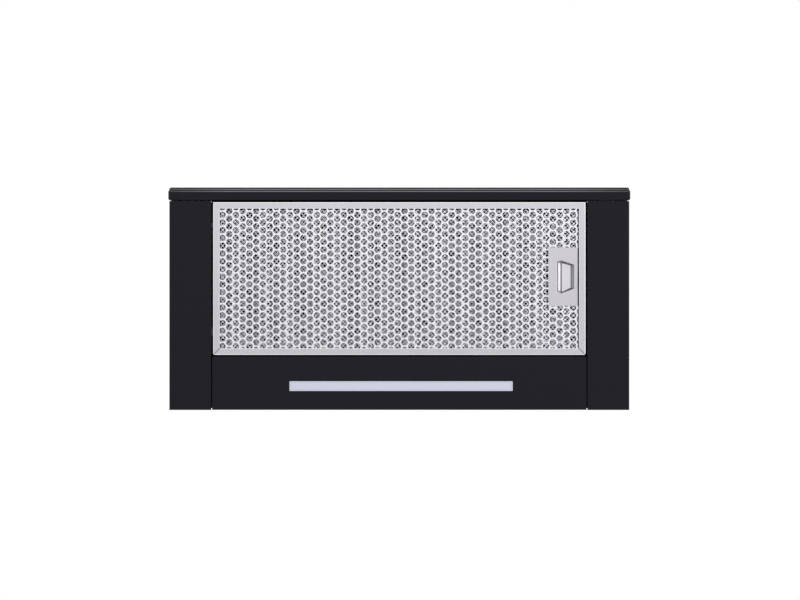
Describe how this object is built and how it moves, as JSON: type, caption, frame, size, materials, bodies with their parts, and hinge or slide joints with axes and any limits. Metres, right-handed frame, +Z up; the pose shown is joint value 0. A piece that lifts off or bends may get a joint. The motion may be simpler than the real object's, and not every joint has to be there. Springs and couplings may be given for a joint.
{
  "type": "range hood",
  "caption": "Pull-out range hood for a wall cabinet: steel body with a sliding filter tray and glass front, mesh grease filters, strip lamp, twin blower and round duct outlet.",
  "frame": {"origin": "on the wall plane at mid width, level with the ledges that meet the underside of the cabinet", "axes": "+Z up; the tray pulls out towards -Y and +Y points into the wall; +X is the right-hand side seen from the front"},
  "size_m": [0.6, 0.289, 0.204],
  "materials": {
    "black_paint": "satin",
    "galvanised_sheet": "satin",
    "zinc_screws": "satin",
    "rail_steel": "satin",
    "black_glass": "gloss",
    "black_plastic": "matte",
    "button_face": "satin",
    "grey_casing": "matte",
    "impeller_plastic": "matte",
    "motor_paint": "satin",
    "laminated_steel": "satin",
    "bearing_bronze": "satin",
    "capacitor_shell": "satin",
    "lens_opal": "satin",
    "board_white": "matte",
    "led_packages": "gloss",
    "driver_case": "matte",
    "filter_aluminium": "satin",
    "filter_mesh": "satin",
    "latch_grey": "satin"
  },
  "bodies": {
    "housing": {"blower_shell_lower": "grey_casing", "blower_shell_upper": "grey_casing", "cabinet_bracket_left": "galvanised_sheet", "cabinet_bracket_right": "galvanised_sheet", "cable_gland": "black_plastic", "capacitor": "capacitor_shell", "fixed_filter_frame": "filter_aluminium", "fixed_filter_mesh": "filter_mesh", "front_crossbar": "black_paint", "housing_screws": "zinc_screws", "lamp_board": "board_white", "lamp_driver": "driver_case", "lamp_holder": "galvanised_sheet", "lamp_leds": "led_packages", "lamp_lens": "lens_opal", "light_panel": "black_paint", "motor_bearings": "bearing_bronze", "motor_housing": "motor_paint", "motor_saddle": "black_plastic", "motor_stator": "laminated_steel", "motor_strap": "galvanised_sheet", "outlet_collar": "black_plastic", "plenum_frame": "black_paint", "rail_outer_left": "rail_steel", "rail_outer_right": "rail_steel", "rear_crossbar": "black_paint", "rear_panel": "galvanised_sheet", "side_channel_left": "black_paint", "side_channel_right": "black_paint", "terminal_box": "black_plastic", "top_panel": "galvanised_sheet", "upper_box": "galvanised_sheet"},
    "tray": {"tray_frame": "black_paint", "tray_screws": "zinc_screws", "fascia_carrier": "black_paint", "fascia_glass": "black_glass", "switch_block": "black_plastic", "end_cap_left": "black_plastic", "end_cap_right": "black_plastic", "rail_inner_left": "rail_steel", "rail_inner_right": "rail_steel"},
    "rail_middle": {"rail_middle_left": "rail_steel", "rail_middle_right": "rail_steel"},
    "filter": {"filter_frame": "filter_aluminium", "filter_face": "filter_aluminium", "filter_mesh": "filter_mesh", "latch_plate": "filter_aluminium"},
    "latch": {"filter_latch": "latch_grey"},
    "rotor": {"motor_shaft": "laminated_steel", "impeller_left": "impeller_plastic", "impeller_right": "impeller_plastic"},
    "outlet_flap_front": {"flap_front": "black_plastic"},
    "outlet_flap_rear": {"flap_rear": "black_plastic"},
    "lamp_button": {"button_lamp": "button_face"},
    "off_button": {"button_off": "button_face"},
    "low_button": {"button_low": "button_face"},
    "medium_button": {"button_medium": "button_face"},
    "high_button": {"button_high": "button_face"}
  },
  "joints": [
    {"name": "tray_slide", "type": "slide", "parent": "housing", "child": "tray", "axis": [0, -1, 0], "range_m": [0, 0.17]},
    {"name": "rail_middle_slide", "type": "slide", "parent": "housing", "child": "rail_middle", "axis": [0, -1, 0], "range_m": [0, 0.085]},
    {"name": "filter_swing", "type": "hinge", "parent": "tray", "child": "filter", "pos_m": [-0.2431, -0.17085, -0.04075], "axis": [0, 1, 0], "range_deg": [0, 60]},
    {"name": "latch_slide", "type": "slide", "parent": "filter", "child": "latch", "axis": [-1, 0, 0], "range_m": [0, 0.005], "stiffness_N_per_m": 400, "springref_m": -0.005},
    {"name": "impeller_spin", "type": "hinge", "parent": "housing", "child": "rotor", "pos_m": [0, -0.096, 0.058], "axis": [1, 0, 0], "continuous": true},
    {"name": "flap_front_lift", "type": "hinge", "parent": "housing", "child": "outlet_flap_front", "pos_m": [0, -0.1343, 0.137], "axis": [-1, 0, 0], "range_deg": [0, 80]},
    {"name": "flap_rear_lift", "type": "hinge", "parent": "housing", "child": "outlet_flap_rear", "pos_m": [0, -0.1277, 0.137], "axis": [1, 0, 0], "range_deg": [0, 80]},
    {"name": "lamp_press", "type": "slide", "parent": "tray", "child": "lamp_button", "axis": [0, 1, 0], "range_m": [0, 0.002], "stiffness_N_per_m": 600, "springref_m": -0.001},
    {"name": "off_press", "type": "slide", "parent": "tray", "child": "off_button", "axis": [0, 1, 0], "range_m": [0, 0.002], "stiffness_N_per_m": 600, "springref_m": -0.001},
    {"name": "low_press", "type": "slide", "parent": "tray", "child": "low_button", "axis": [0, 1, 0], "range_m": [0, 0.002], "stiffness_N_per_m": 600, "springref_m": -0.001},
    {"name": "medium_press", "type": "slide", "parent": "tray", "child": "medium_button", "axis": [0, 1, 0], "range_m": [0, 0.002], "stiffness_N_per_m": 600, "springref_m": -0.001},
    {"name": "high_press", "type": "slide", "parent": "tray", "child": "high_button", "axis": [0, 1, 0], "range_m": [0, 0.002], "stiffness_N_per_m": 600, "springref_m": -0.001}
  ],
  "couplings": [
    {"joint": "rail_middle_slide", "follows": "tray_slide", "ratio": 0.5}
  ]
}
